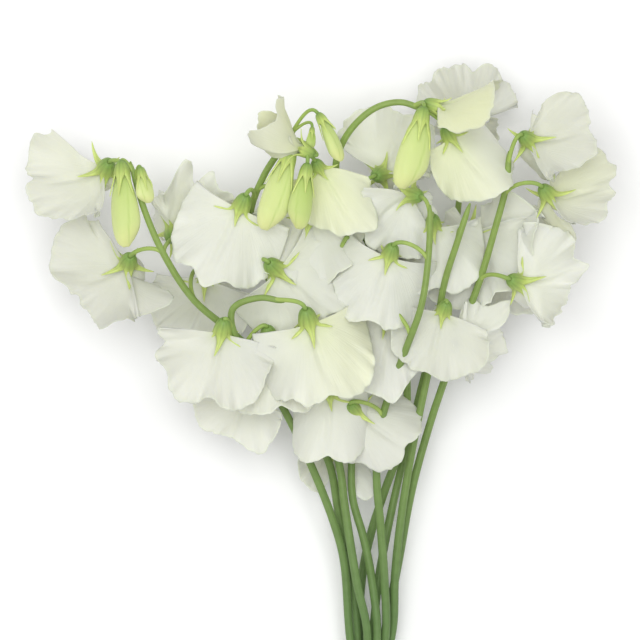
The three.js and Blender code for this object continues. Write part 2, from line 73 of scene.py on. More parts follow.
# Stems: slot angle in the band (None is the middle) and points up to the tip
STEMS = {
    "a": (157.5, [[15, -159, 18], [12, -121, 25], [6.5, -101, 30], [-5, -72, 39],
                  [-16.5, -48, 44], [-37, -13, 52], [-63, 10, 60], [-78, 33, 66],
                  [-87.5, 55, 68], [-94.5, 79, 68]]),
    "b": (202.5, [[19, -159, 14], [15, -121, 21], [9.5, -98, 24], [4.5, -72, 31],
                  [-8, -50, 42], [-28, -28, 58], [-43, -6, 70], [-43, 6, 75],
                  [-30, 11, 79], [-17.5, 9, 82]]),
    "c": (112.5, [[24, -159, 23], [18.5, -132, 29], [12.5, -94, 34], [9.5, -72, 36],
                  [0, -40, 41], [-15, 0, 50], [-29, 28, 51], [-35, 51, 56],
                  [-28, 72, 65], [-18, 87, 72], [-12, 96, 76]]),
    "d": (67.5, [[29, -159, 22], [26, -130, 26], [22, -110, 29], [16.5, -90, 30],
                 [16, -70, 31], [18, -42, 32], [14, -12, 36], [6, 20, 40]]),
    "e": (22.5, [[33.5, -157, 20.5], [32.5, -130, 27], [30.5, -103, 34], [28.5, -80, 40],
                 [29, -60, 44], [35, -36, 53], [43, -14, 66], [50.5, 8, 78],
                 [54, 35, 81], [54.5, 57, 84]]),
    "f": (247.5, [[20, -159, 9], [21.5, -130, 13], [26, -108, 16], [33, -86, 21],
                  [40, -66, 25], [44, -40, 32], [40, -5, 42], [26, 35, 52], [11, 62, 60],
                  [8, 78, 66], [14, 93, 73], [27, 105, 78], [40, 108, 80], [52, 104, 80]]),
    "g": (None, [[27, -158, 15], [30, -130, 19], [35, -103, 19], [41, -76, 19],
                 [50, -40, 16], [60, 0, 16], [68, 40, 17], [72, 74, 20]]),
    "h": (337.5, [[37, -157, 15], [38, -130, 22], [41, -100, 29], [46, -68, 36],
                  [53, -33, 42], [58, -8, 49], [62, 18, 62], [68, 38, 72], [74.5, 58, 76]]),
    "i": (292.5, [[33, -159, 9], [40, -122, 16], [46.5, -86, 25], [56, -51, 31],
                  [63.5, -28, 38], [71, -5, 46], [80, 20, 56], [88, 48, 64],
                  [93, 68, 68], [94, 84, 71]]),
}

# Blooms: name, stem, calyx top, keel direction, standard direction, open, fold, frill,
# size and how cream the petals are
BLOOMS = [
    ("01", "a", [-107, 76, 56], [-0.25, -0.4, -0.87], [-0.95, -0.22, 0.1], 88, 30, [3.4, 6, 0.3], 1.14, 0.1),
    ("02", "a", [-96, 29, 52], [-0.15, -0.4, -0.9], [-0.9, -0.42, 0.05], 91, 47, [3.4, 6, 1.3], 1.1, 0.0),
    ("04", "a", [-74, 43, 44], [0.1, 0.3, -0.9], [0.65, 0.75, 0.1], 96, 50, [4.2, 7, 2.1], 1.1, 0.1),
    ("29", "a", [-58, 22, 25], [0.25, -0.4, -0.85], [-0.25, -0.95, 0.1], 96, 55, [3.0, 6, 0.8], 1.05, 0.0),
    ("06", "b", [-48.5, -5, 72], [-0.15, -0.75, -0.65], [-0.12, -0.65, 0.75], 60, 70,
     [3.2, 7, 0.4], 1.12, 0.05),
    ("07", "b", [-6, 0, 80], [0.15, -0.7, -0.68], [0.27, -0.65, 0.7], 61, -32, [2.4, 5, 2.6], 1.2, 0.8),
    ("08", "b", [-25.5, -8.5, 66], [0.12, -0.72, -0.68], [0.12, -0.68, 0.72], 61, -42,
     [2.8, 5, 1.7], 1.1, 0.15),
    ("27", "b", [-38, -36, 48], [0.0, -0.5, -0.85], [-0.3, -0.8, 0.5], 70, 50, [2.0, 5, 0.9], 0.88, 0.05),
    ("05", "c", [-39, 57, 72], [-0.3, -0.7, -0.65], [-0.35, -0.65, 0.7], 60, -36, [3.0, 5, 0.9], 1.12, 0.1),
    ("14", "c", [-23, 26, 66], [0.35, -0.35, -0.85], [0.7, -0.65, 0.2], 75, -45, [2.8, 6, 0.1], 1.15, 0.15),
    ("16", "c", [-8, 84, 87], [-0.88, 0.42, 0.1], [0.3, 0.85, 0.4], 44, -12, [1.6, 4, 0.5], 0.88, 0.7),
    ("15", "c", [-1, 76, 76], [0.25, -0.5, -0.8], [0.5, -0.8, 0.4], 66, -30, [2.0, 5, 1.4], 0.86, 1.0),
    ("30", "c", [-4, 52, 61], [-0.1, -0.35, -0.9], [-0.35, -0.9, 0.1], 85, 60, [3.2, 6, 2.2], 1.05, 0.1),
    ("23", "f", [30, 73, 48], [0.3, 0.1, -0.85], [0.35, 0.93, 0.0], 90, 36, [3.4, 6, 0.6], 1.05, 0.1),
    ("21", "f", [64, 92, 72], [0.35, -0.62, -0.7], [0.62, -0.66, 0.5], 61, -22, [2.0, 5, 1.1], 0.98, 0.9),
    ("20", "f", [57, 106, 83], [0.9, -0.3, -0.1], [0.3, 0.85, 0.4], 46, -20, [1.6, 4, 2.0], 0.92, 0.9),
    ("13", "e", [35, 33, 74], [-0.2, -0.6, -0.75], [-0.25, -0.8, 0.5], 62, -26, [2.6, 5, 0.2], 1.05, 0.1),
    ("17", "e", [47, 62, 68], [-0.45, 0.1, -0.85], [-0.75, -0.6, 0.1], 88, 50, [3.0, 6, 1.9], 1.0, 0.0),
    ("18", "e", [56.5, 48, 61], [0.05, -0.6, -0.8], [0.0, -0.8, 0.6], 62, -36, [2.8, 6, 2.7], 1.0, 0.1),
    ("11", "h", [62, 5, 62], [-0.2, -0.6, -0.75], [-0.2, -0.8, 0.5], 64, 45, [2.8, 6, 1.0], 0.96, 0.1),
    ("12", "h", [67, -13, 54], [0.45, -0.25, 0.8], [0.8, 0.2, -0.35], 92, 40, [3.6, 7, 0.7], 0.84, 0.1),
    ("19", "h", [74, 44, 47], [0.35, -0.2, -0.9], [0.5, -0.85, 0.05], 90, 50, [3.0, 6, 1.5], 1.1, 0.0),
    ("24", "i", [103, 90, 70], [0.4, -0.3, -0.85], [0.9, 0.12, 0.1], 88, 42, [3.0, 5, 0.9], 1.02, 0.1),
    ("25", "i", [113, 63, 68], [0.4, -0.5, -0.8], [0.92, 0.25, 0.2], 82, 36, [2.8, 5, 1.8], 1.02, 0.5),
    ("26", "i", [98, 19, 62], [0.5, -0.2, -0.8], [0.93, 0.2, 0.1], 94, 40, [3.8, 7, 0.0], 1.06, 0.0),
    ("22", "g", [74, 100, 20], [0.05, -0.3, 0.9], [0.0, 0.95, 0.3], 92, 45, [4.4, 8, 1.3], 1.0, 0.0),
    ("31", "g", [88, 36, 25.5], [0.3, -0.3, -0.9], [0.8, -0.5, 0.1], 92, 60, [3.0, 6, 0.2], 1.15, 0.0),
    ("09", "d", [5, -36, 64], [0.0, -0.6, -0.78], [-0.05, -0.8, 0.6], 62, -20, [1.6, 4, 1.6], 1.0, 0.1),
    ("10", "e", [16.5, -44.5, 55], [0.2, -0.4, -0.88], [0.8, -0.5, 0.3], 72, -34, [2.0, 4, 0.4], 1.02, 0.05),
    ("28", "d", [6, -62, 20], [0.1, -0.4, -0.9], [0.1, -0.95, 0.1], 96, 50, [3.4, 6, 1.1], 0.8, 0.0),
    ("32", "d", [14, 38, 55], [0.0, -0.35, -0.9], [0.0, -0.95, 0.1], 90, 60, [3.0, 6, 2.4], 1.1, 0.0),
    ("33", "e", [33, 4, 60], [0.0, -0.4, -0.9], [-0.1, -0.95, 0.2], 80, 50, [3.0, 6, 0.7], 1.0, 0.0),
]

# Buds: name, stem, calyx top, tip direction, back direction, length, width, how pale
BUDS = [
    ("left_large", "a", [-98.5, 73, 70], [0.05, -0.99, 0.1], [-0.3, 0, 0.95], 36, 14.5, 0.35),
    ("left_small", "a", [-88.5, 72, 74.5], [0.2, -0.97, 0.05], [0.3, 0, 0.95], 14, 9, 0.55),
    ("middle_pale", "c", [-16, 79, 86], [-0.3, -0.93, 0.0], [-0.2, 0, 0.95], 36, 15, 0.5),
    ("middle_green", "c", [-7, 72, 90], [-0.15, -0.97, 0.0], [0.2, 0, 0.95], 27, 12, 0.1),
    ("top_small", "c", [-4, 93.5, 83.6], [-0.1, -0.97, 0.1], [0.2, 0, 0.95], 10, 5, 0.0),
    ("top_end", "c", [1, 99, 82], [0.5, -0.83, 0.1], [0.7, 0.3, 0.5], 22, 9, 0.3),
    ("arch", "f", [50, 99, 90], [-0.2, -0.96, 0], [0.1, 0, 0.95], 35, 16.5, 0.45),
]

# Lobes and notches of some standards' rims: angle, change of the radius, spread in degrees
RIM_MARKS = {
    "01": [(-44, -0.1, 4), (-34, 0.1, 8), (-12, 0.04, 6), (3, 0.14, 7), (25, 0.1, 12)],
    "02": [(118, 0.5, 18), (-45, 0.15, 22), (14, -0.2, 9), (28, -0.1, 8), (47, 0.18, 6), (62, 0.14, 12)],
    "04": [(60, -0.42, 26), (30, 0.24, 7), (18, -0.28, 6), (5, 0.04, 8)],
    "05": [(1, 0.3, 8)],
    "06": [(-90, 0.12, 9), (-71, -0.1, 5), (-58, 0.04, 6), (-40, -0.07, 6), (-20, 0.04, 8), (60, -0.1, 12)],
    "09": [(-80, -0.2, 25), (80, -0.1, 20)],
    "10": [(-48, -0.24, 16), (-85, -0.3, 20)],
    "11": [(52, 0.16, 16), (0, 0.08, 8)],
    "12": [(-27, 0.35, 7), (-14, -0.2, 7), (4, 0.05, 8), (30, -0.3, 8), (46, 0.12, 6)],
    "15": [(3, 0.33, 14), (18, 0.2, 12), (-15, 0.1, 8)],
    "16": [(24, -0.3, 9), (38, -0.12, 8), (60, 0.2, 12), (-26, -0.32, 11), (-56, 0.04, 14)],
    "17": [(-36, -0.22, 18)],
    "19": [(-55, 0.2, 20), (92, 0.5, 34), (-165, 0.35, 26)],
    "20": [(-80, -0.35, 25), (15, 0.05, 8)],
    "21": [(-85, -0.45, 26), (0, 0.28, 10), (12, 0.08, 8), (-40, -0.06, 14), (45, 0.05, 10)],
    "22": [(6, -0.13, 4), (38, -0.06, 8), (-38, -0.06, 6)],
    "24": [(78, -0.55, 24), (40, 0.06, 8), (-48, -0.18, 16)],
    "25": [(72, -0.6, 24), (36, 0.16, 8), (12, 0.05, 8), (-26, -0.1, 10)],
    "26": [(-4, 0.2, 5), (-16, -0.26, 8), (-30, -0.12, 8), (-54, 0.1, 9), (-84, 0.12, 8)],
    "27": [(-12, -0.24, 20), (10, -0.08, 8), (34, 0.1, 8)],
    "28": [(30, 0.35, 12), (-2, -0.42, 10), (-75, -0.35, 18), (75, -0.3, 18)],
    "29": [(45, 0.32, 14), (66, 0.2, 12)],
    "30": [(112, 0.3, 18)],
    "33": [(4, 0.38, 16)],
}

# How far some standards spread to each side, in degrees
REACH = {
    "01": (-47, 92), "02": (-92, 140), "13": (-108, 108), "15": (-92, 57), "16": (-74, 66),
    "17": (-47, 160), "18": (-138, 138), "19": (-178, 148), "30": (-92, 132), "31": (-126, 126),
    "33": (-92, 44),
}

# Blooms whose cream is on one half, and painted shade: a factor that darkens the petal colour of some
# blooms, standing in for less light on them, so they look a little darker than the rest
CREAM_SIDE = {"07": 1, "21": -1, "25": 1}
PAINTED_SHADE = {"01": 0.91, "02": 0.85, "06": 0.93, "10": 0.91, "11": 0.9, "16": 0.84, "20": 0.86,
         "22": 0.9, "24": 0.86, "25": 0.87}

# Blooms whose wings stay closed round the keel, and the size of some wings
CLOSED_WINGS = {"01", "11", "12", "17"}
WING_SIZE = {"01": 0.8, "12": 0.5, "16": 1.5}

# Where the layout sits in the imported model's frame, from the band
band_low, band_high = (np.array(corner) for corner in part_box("band"))
band_middle = (band_low + band_high) / 2
SHIFT = np.array([band_middle[0] / MM - BAND["x"], band_middle[1] / MM - BAND["y"], band_low[2] / MM])


# Curves and frames

def unit(v):
    v = np.asarray(v, float)
    return v / np.linalg.norm(v)


def clip01(x):
    return np.clip(x, 0, 1)


def bell(x):
    """A soft hump that is 1 in the middle."""
    return np.exp(-(x ** 2))


def blend(start, end, share):
    return start * (1 - share) + end * share


def around(sides):
    """Angles of the points of a ring."""
    return np.arange(sides) / sides * TURN


def stacked(*parts):
    """Grids that fit each other as the last axis of one grid."""
    return np.stack(np.broadcast_arrays(*parts), axis=-1)


def summed(steps):
    """Running totals from 0 on."""
    return np.concatenate([[0], np.cumsum(steps)])


# Waves of an uneven ripple: height, rate and shift with the seed
RIPPLES = [(1, 1, 1), (0.6, 1.73, 2.3), (0.4, 2.9, 3.7)]
RIPPLE_TOP = 1.5


def ripple(x, seed):
    """An uneven wave between about -1 and 1."""
    return sum(high * np.sin(rate * x + shift * seed) for high, rate, shift in RIPPLES) / RIPPLE_TOP


def frame_of(at, forward, back):
    """Columns x, y, z and the place of a bloom's or bud's own frame."""
    z = unit(forward)
    y = np.asarray(back, float)
    y = unit(y - z * y.dot(z))
    return np.column_stack([np.cross(y, z), y, z]), np.asarray(at, float)


def placed(own, points, scale=1.0):
    turn, at = own
    return np.asarray(points) * scale @ turn.T + at


# The least root of a distance between two points of a curve, so that its speed stays finite
LEAST_ROOT = 1e-4


def catmull(points, share):
    """Centripetal Catmull-Rom curve through the points, share from 0 to 1."""
    points = np.asarray(points, float)
    last = len(points) - 1
    ahead = np.vstack([2 * points[0] - points[1], points, 2 * points[-1] - points[-2]])
    result = []
    for s in np.atleast_1d(share):
        u = min(max(s, 0), 1) * last
        k = min(int(u), last - 1)
        w = u - k
        p0, p1, p2, p3 = ahead[k:k + 4]
        d0, d1, d2 = (max(np.linalg.norm(b - a) ** 0.5, LEAST_ROOT)
                      for a, b in ((p0, p1), (p1, p2), (p2, p3)))
        t1 = ((p1 - p0) / d0 - (p2 - p0) / (d0 + d1) + (p2 - p1) / d1) * d1
        t2 = ((p2 - p1) / d1 - (p3 - p1) / (d1 + d2) + (p3 - p2) / d2) * d1
        c2 = -3 * p1 + 3 * p2 - 2 * t1 - t2
        c3 = 2 * p1 - 2 * p2 + t1 + t2
        result.append(p1 + t1 * w + c2 * w * w + c3 * w ** 3)
    return np.array(result)


def even(line, count):
    """The same line with count + 1 points at even distances, and its length."""
    run = summed(np.linalg.norm(np.diff(line, axis=0), axis=1))
    marks = np.linspace(0, run[-1], count + 1)
    return np.column_stack([np.interp(marks, run, line[:, k]) for k in range(3)]), run[-1]


# Meshes

# How thick the rim of a thin sheet is, as a share of its thickness, a length that keeps a
# division finite, and the number of soft ridges along a stem
RIM_SHARE = 0.35
TINY = 1e-9
RIBS = 5


class Skin:
    """Vertices, faces, colours and pattern coordinates, gathered into one mesh."""

    def __init__(self):
        self.points = []
        self.faces = []
        self.colors = []
        self.maps = []
        self.count = 0

    def add(self, points, faces, colors, maps=None):
        points = np.asarray(points, float).reshape(-1, 3)
        if maps is None:
            maps = np.zeros((len(points), 2))
        self.points.append(points)
        self.colors.append(np.broadcast_to(np.asarray(colors, float).reshape(-1, 3), points.shape))
        self.maps.append(maps.reshape(-1, 2))
        self.faces.extend([[i + self.count for i in face] for face in faces])
        self.count += len(points)

    def add_sheet(self, grid, thickness, colors, maps):
        """A thin closed sheet over a grid of points, with the same colours on both sides."""
        points, faces = sheet(grid, thickness)
        self.add(points, faces, np.stack([colors, colors]), np.stack([maps, maps]))

    def add_tube(self, rings, colors, maps=None):
        """A closed tube through rings of points, with one colour or one for each ring."""
        if np.ndim(colors) > 1:
            colors = np.repeat(colors, rings.shape[1], axis=0)
        self.add(rings, tube_faces(*rings.shape[:2]), colors, maps)

    def build(self, name, material, node):
        points = (np.concatenate(self.points) + SHIFT) * MM
        mesh = bpy.data.meshes.new(name)
        mesh.from_pydata(points.tolist(), [], self.faces)
        tint = mesh.color_attributes.new("tint", "FLOAT_COLOR", "POINT")
        colors = np.concatenate(self.colors)
        tint.data.foreach_set("color", np.column_stack([colors, np.ones(len(colors))]).ravel())
        spread = mesh.attributes.new("spread", "FLOAT2", "POINT")
        spread.data.foreach_set("vector", np.concatenate(self.maps).ravel())
        mesh.shade_smooth()
        mesh.materials.append(material)
        piece = bpy.data.objects.new(name, mesh)
        bpy.context.collection.objects.link(piece)
        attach(piece, "root")
        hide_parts(node)


def grid_faces(rows, columns, start=0, flip=False):
    faces = []
    for i in range(rows - 1):
        for j in range(columns - 1):
            a = start + i * columns + j
            quad = [a, a + columns, a + columns + 1, a + 1]
            faces.append(quad[::-1] if flip else quad)
    return faces


def sheet(grid, thickness):
    """Points and faces of a closed thin sheet over a grid of points, thinner at its rim."""
    rows, columns = grid.shape[:2]
    normal = np.cross(np.gradient(grid, axis=0), np.gradient(grid, axis=1))
    normal /= np.linalg.norm(normal, axis=2, keepdims=True) + TINY
    rim_i = np.minimum(np.arange(rows), np.arange(rows)[::-1])[:, None]
    rim_j = np.minimum(np.arange(columns), np.arange(columns)[::-1])[None, :]
    taper = np.where(np.minimum(rim_i, rim_j) == 0, RIM_SHARE, 1.0)[..., None]
    offset = normal * thickness / 2 * taper
    points = np.concatenate([(grid + offset).reshape(-1, 3), (grid - offset).reshape(-1, 3)])
    count = rows * columns
    faces = grid_faces(rows, columns) + grid_faces(rows, columns, count, flip=True)
    rim = [(0, j) for j in range(columns)]
    rim += [(i, columns - 1) for i in range(1, rows)]
    rim += [(rows - 1, j) for j in range(columns - 2, -1, -1)]
    rim += [(i, 0) for i in range(rows - 2, 0, -1)]
    ids = [i * columns + j for i, j in rim]
    for a, b in zip(ids, ids[1:] + ids[:1]):
        faces.append([a, b, count + b, count + a])
    return points, faces


def tube_faces(rings, sides):
    faces = []
    for r in range(rings - 1):
        for k in range(sides):
            a = r * sides + k
            b = r * sides + (k + 1) % sides
            faces.append([a, b, b + sides, a + sides])
    faces.append(list(range(sides))[::-1])
    faces.append([(rings - 1) * sides + k for k in range(sides)])
    return faces


def tube_rings(path, radii, sides, rib_height=0.0):
    """Rings of points round a path, with a few soft ridges along it if rib_height is above 0."""
    path = np.asarray(path, float)
    tangent = np.gradient(path, axis=0)
    tangent /= np.linalg.norm(tangent, axis=1, keepdims=True)
    side = UP
    turn = around(sides)
    rings = []
    for p, t, r in zip(path, tangent, radii):
        side = unit(side - t * side.dot(t))
        other = np.cross(t, side)
        reach = r * (1 + rib_height * np.cos(RIBS * turn))[:, None]
        rings.append(p + reach * (np.cos(turn)[:, None] * side + np.sin(turn)[:, None] * other))
    return np.array(rings)


# Petals, in millimetres on a bloom of size 1; leans, reach, from and to are in degrees, and
# notch_half and tip are angles in radians
PETAL_THICK = 0.32
STANDARD = {
    "rows": 34, "columns": 96, "crowd": 0.85,
    "height": 36, "claw": 2.2, "foot_y": 1.6, "foot_z": 1.0, "reach": (-92, 92),
    "narrow": 0.28, "notch": 0.11, "notch_half": 0.16,
    "first_lean": 20, "bend": 0.34, "steps": 16,
    "swell": 1.6, "swell_rates": (2.6, 3.4), "frill_drift": 0.5,
    "groove": 1.4, "groove_half": 1.7, "groove_end": 1.1,
}
WING = {
    "rows": 22, "columns": 40,
    "length": 23, "claw": 1.4, "foot": (2.1, -1.4, 2.4),
    "from": -50, "to": 42, "to_hooded": 24,
    "narrow": 0.26, "tip": 0.35, "corner": 0.42, "lobes": 0.03, "lobe_rate": 6,
    "cup": 3.0, "cup_drop": 0.5, "wave": 0.5, "wave_rate": 4, "closed_frill": 0.3,
}
KEEL = {
    "rows": 16, "sides": 14, "start": 3, "length": 17, "drop": 1.6, "rise": 5,
    "half": 2.2, "half_loss": 0.8, "foot": 0.05, "foot_share": 0.6,
    "tall": 3.8, "tall_curve": (0.55, 0.6, -0.95), "round_from": 0.75, "round_over": 0.26,
    "white_end": 0.5,
}

# Wings by kind of bloom: size, how far they point outward and how far they lean
WING_FORMS = {"half_open": (0.62, 8, 10), "hooded": (0.86, 13, 26), "open": (1, 26, 40)}

# The solid heart of a bloom, which joins its petals: height and radius of its rings
PLUG_Z = [0.1, 2.4, 4.4]
PLUG_R = [2.7, 2.7, 1.9]

# Waves of a standard's rim: height as a share of the radius, rate and shift with the seed
RIM_WAVES = [(0.035, 4.4, 1), (0.014, 15, 2), (0.008, 37, 3)]

# A petal's frill starts at this share of the way out
FRILL_FROM = 0.4

# Ruffles of a standard: height as a share of the frill's, rate round the petal and out to the
# rim, shift with the seed, and how close they keep to the rim
RUFFLES = [(0.55, 1.9, 1.2, 1, 2.4), (0.30, 4.6, 0, 2, 5)]

# Ruffles of a wing: height, rate round the petal, whether the two wings differ, closeness
WING_RUFFLES = [(0.4, 9, 1, 2), (0.2, 24, 0, 4)]

# How much the ruffles' pattern moves on from one bloom to the next
SEED_STEP = 1.3


def rim_radius(phi, seed, marks):
    """How far the rim of a standard is from its claw, at the angle phi."""
    notch = 1 - STANDARD["notch"] * bell(phi / STANDARD["notch_half"])
    lobes = 1 + sum(high * ripple(rate * phi, shift * seed) for high, rate, shift in RIM_WAVES)
    for at, change, spread in marks:
        lobes = lobes + change * bell((phi / DEG - at) / spread)
    narrow = STANDARD["narrow"]
    return STANDARD["height"] * notch * (1 - narrow + narrow * np.cos(phi)) * lobes


def bent_back(q, open_to):
    """y, z and lean of a standard at the distance q from its claw, before it is folded."""
    first = STANDARD["first_lean"]
    steps = STANDARD["steps"]
    bend = STANDARD["bend"] * STANDARD["height"]
    y = np.full_like(q, STANDARD["foot_y"])
    z = np.full_like(q, STANDARD["foot_z"])
    for k in range(steps):
        t = clip01((k + 0.5) * np.abs(q) / steps / bend)
        lean = (first + (open_to - first) * t * t * (3 - 2 * t)) * DEG
        y = y + np.sin(lean) * q / steps
        z = z + np.cos(lean) * np.abs(q) / steps
    return y, z, lean


def standard_grid(open_to, fold, frill, seed, marks, reach):
    """Points of the broad upright petal, with the angle and the share of the way to the rim."""
    low, high = reach
    phi = np.linspace(low * DEG, high * DEG, STANDARD["columns"])[None, :]
    rho = (np.linspace(0, 1, STANDARD["rows"]) ** STANDARD["crowd"])[:, None]
    rim = rim_radius(phi, seed, marks)
    p = (STANDARD["claw"] * (1 - rho) + rim * rho) * np.sin(phi)
    y, z, lean = bent_back(rim * rho * np.cos(phi), open_to)
    side = fold * np.sin(p / fold)
    drop = fold * (1 - np.cos(p / fold))
    waves, count, phase = frill
    edge = clip01((rho - FRILL_FROM) / (1 - FRILL_FROM))
    push = drop + waves * np.sin(count * phi + phase + STANDARD["frill_drift"] * rho) * rho ** 3
    for high, rate, out_rate, shift, close in RUFFLES:
        wave = ripple(rate * count * phi + out_rate * rho, shift * seed)
        push = push + high * waves * wave * edge ** close
    round_rate, out_rate = STANDARD["swell_rates"]
    swell = ripple(round_rate * phi + out_rate * rho, seed) * rho * (1 - rho)
    groove = bell(p / STANDARD["groove_half"]) * np.sin(np.pi * clip01(rho * STANDARD["groove_end"]))
    push = push + STANDARD["swell"] * swell - STANDARD["groove"] * groove
    grid = stacked(side, y + push * np.cos(lean), z - push * np.sin(lean))
    return grid, phi, rho


def wing_grid(open_to, fold, frill, hand, seed, closed, grow):
    """Points of one of the two side petals; hand is -1 or 1."""
    half_open = closed or open_to < HALF_OPEN
    hooded = not half_open and fold < 0
    size, out, lean = WING_FORMS["half_open" if half_open else "hooded" if hooded else "open"]
    out, lean = out * DEG, lean * DEG
    last = WING["to_hooded"] if hooded or closed else WING["to"]
    phi = np.linspace(WING["from"] * DEG, last * DEG, WING["columns"])[None, :]
    rho = np.linspace(0, 1, WING["rows"])[:, None]
    ends = 1 - WING["corner"] * np.abs(np.linspace(-1, 1, WING["columns"])[None, :]) ** 4
    ends = ends * (1 + WING["lobes"] * ripple(WING["lobe_rate"] * phi, seed + hand))
    narrow = WING["narrow"]
    rim = grow * size * WING["length"] * (1 - narrow + narrow * np.cos(phi - WING["tip"])) * ends
    a = rim * rho * np.cos(phi)
    b = rim * rho * np.sin(phi) + WING["claw"] * (1 - rho) * np.sin(phi)
    waves, _, phase = frill
    if closed:
        waves = waves * WING["closed_frill"]
    wave = WING["wave"] * waves * np.sin(WING["wave_rate"] * phi + phase + hand) * rho ** 3
    edge = clip01((rho - FRILL_FROM) / (1 - FRILL_FROM))
    for high, rate, differ, close in WING_RUFFLES:
        wave = wave + high * waves * ripple(rate * phi, seed + differ * hand) * edge ** close
    cup = 4 * WING["cup"] * rho * (1 - rho) + wave
    foot_x, foot_y, foot_z = WING["foot"]
    grid = stacked(
        hand * (foot_x + a * math.sin(out) + b * math.sin(lean) + cup * math.cos(lean)),
        foot_y + b * math.cos(lean) - cup * math.sin(lean) * WING["cup_drop"],
        foot_z + a * math.cos(out))
    return grid, phi, rho


# Colours of the petals, and how cream a bloom is before its slot is the cream one
WHITE = np.array([0.735, 0.745, 0.67])
CREAM = np.array([0.78, 0.815, 0.50])
THROAT = np.array([0.62, 0.70, 0.36])
RIM = np.array([0.70, 0.745, 0.58])
BLUSH = blend(CREAM, THROAT, 0.35)

# Where each colour goes; a pair is the amount on a white bloom and what cream adds to it
TONES = {
    "base": 0.45, "patch": 0.55, "patch_rates": (1.3, 2.2),
    "one_side_base": 0.1, "one_side_patch": 1.15, "one_side_edge": 5, "one_side_past": 0.1,
    "blush": (0.10, 0.30), "blush_reach": 0.9,
    "throat": 0.6, "throat_reach": (0.26, 0.16), "throat_power": 1.5,
    "rim": 0.6, "rim_from": 0.93,
}


def petal_tint(rho, phi, cream, seed, side):
    """White to cream, greener towards the claw and a little at the rim; side puts the cream
    on one half."""
    if side:
        past_middle = side * phi + TONES["one_side_past"]
        patch = TONES["one_side_patch"] / (1 + np.exp(-TONES["one_side_edge"] * past_middle))
        share = TONES["one_side_base"] + TONES["patch"] * patch
    else:
        round_rate, out_rate = TONES["patch_rates"]
        patch = 0.5 + 0.5 * ripple(round_rate * phi + out_rate * rho, seed)
        share = TONES["base"] + TONES["patch"] * patch
    tint = blend(WHITE, CREAM, cream * share[..., None])
    low, more = TONES["blush"]
    blush = (low + more * cream) * clip01(1 - rho / TONES["blush_reach"])
    tint = blend(tint, BLUSH, blush[..., None])
    low, more = TONES["throat_reach"]
    throat = TONES["throat"] * clip01(1 - rho / (low + more * cream)) ** TONES["throat_power"]
    tint = blend(tint, THROAT, throat[..., None])
    rim = TONES["rim"] * clip01((rho - TONES["rim_from"]) / (1 - TONES["rim_from"]))
    return blend(tint, RIM, rim[..., None])


def add_petal(skin, own, size, petal, cream, seed, side, painted_shade):
    """Adds a thin petal, kept above the floor."""
    grid, phi, rho = petal
    world = placed(own, grid, size)
    world[..., 2] = np.maximum(world[..., 2], PETAL_THICK)
    # Painted shade: the petal colour is multiplied by the bloom's darkening factor
    tint = petal_tint(rho, phi, cream, seed, side) * painted_shade
    skin.add_sheet(world, PETAL_THICK, tint, stacked(phi, rho))


def add_keel(skin, own, size, grow):
    """The narrow closed petals between the wings, as one rounded boat."""
    t = np.linspace(0, 1, KEEL["rows"])[:, None]
    turn = around(KEEL["sides"])
    round_end = np.sqrt(clip01(1 - clip01((t - KEEL["round_from"]) / KEEL["round_over"]) ** 2))
    half = KEEL["half"] * (1 - KEEL["half_loss"] * t * t) * round_end
    half = half * np.where(t < KEEL["foot"], KEEL["foot_share"], 1)
    c0, c1, c2 = KEEL["tall_curve"]
    tall = KEEL["tall"] * (c0 + c1 * t + c2 * t * t) * round_end
    rings = stacked(
        half * np.cos(turn),
        KEEL["rise"] * t * t - KEEL["drop"] + tall * np.sin(turn),
        KEEL["start"] + KEEL["length"] * grow * t)
    skin.add_tube(placed(own, rings, size), blend(CREAM, WHITE, KEEL["white_end"] * t))


def add_plug(skin, own, size):
    """The heart that joins the petals."""
    turn = around(KEEL["sides"])
    radius = np.array(PLUG_R)[:, None]
    rings = stacked(radius * np.cos(turn), radius * np.sin(turn), np.array(PLUG_Z)[:, None])
    skin.add_tube(placed(own, rings, size), THROAT)


def make_bloom(bloom, index, material):
    name, _, at, keel, back, open_to, fold, frill, size, cream = bloom
    own = frame_of(at, keel, back)
    seed = SEED_STEP * index
    # The painted shade factor that darkens this bloom's petal colour, 1 where none is painted
    painted_shade = PAINTED_SHADE.get(name, 1)
    grow = WING_SIZE.get(name, 1)
    reach = REACH.get(name, STANDARD["reach"])
    skin = Skin()
    standard = standard_grid(open_to, fold, frill, seed, RIM_MARKS.get(name, ()), reach)
    add_petal(skin, own, size, standard, cream, seed, CREAM_SIDE.get(name, 0), painted_shade)
    for hand in (-1, 1):
        wing = wing_grid(open_to, fold, frill, hand, seed, name in CLOSED_WINGS, grow)
        add_petal(skin, own, size, wing, cream, seed, 0, painted_shade)
    add_keel(skin, own, size, min(grow, 1))
    add_plug(skin, own, size)
    skin.build("petals_" + name, material, "bloom_" + name)


# Buds: half width along the bud, as shares of its length and of its half width
BUD_MARKS = [0, 0.12, 0.3, 0.5, 0.7, 0.84, 0.94, 1]
BUD_HALF = [0.36, 0.6, 0.86, 0.98, 1, 0.86, 0.55, 0.1]
BUD_TIP = [0.2, 0.04]

# Depth as a share of the width, and how far the tip hooks and slants, as shares of the length
BUD_DEEP = 0.74
BUD_HOOK = 0.16
BUD_SLANT = 0.16
BUD_FOOT = 0.4
BUD_ROWS = 44
BUD_SIDES = 56

# Samples of a bud's half width along it, and how many of them are averaged to soften it
BUD_SAMPLES = 60
BUD_SOFT = 9

# How much deeper a bud is in front than at its back, the lap of its folded petal with the
# course of the seam, and the crease in front and the ridge behind: height, half width, place
BUD_BACK = 0.85
BUD_FRONT = 1.15
LAP = {"height": 0.055, "over": 0.1, "fade": 0.9, "last": 4, "start": 0.75, "drift": 0.5}
CREASE = {"height": 0.14, "half": 0.16, "at": 1.5 * math.pi}
RIDGE = {"height": 0.09, "half": 0.2, "at": 0.5 * math.pi, "aside": 0.25}

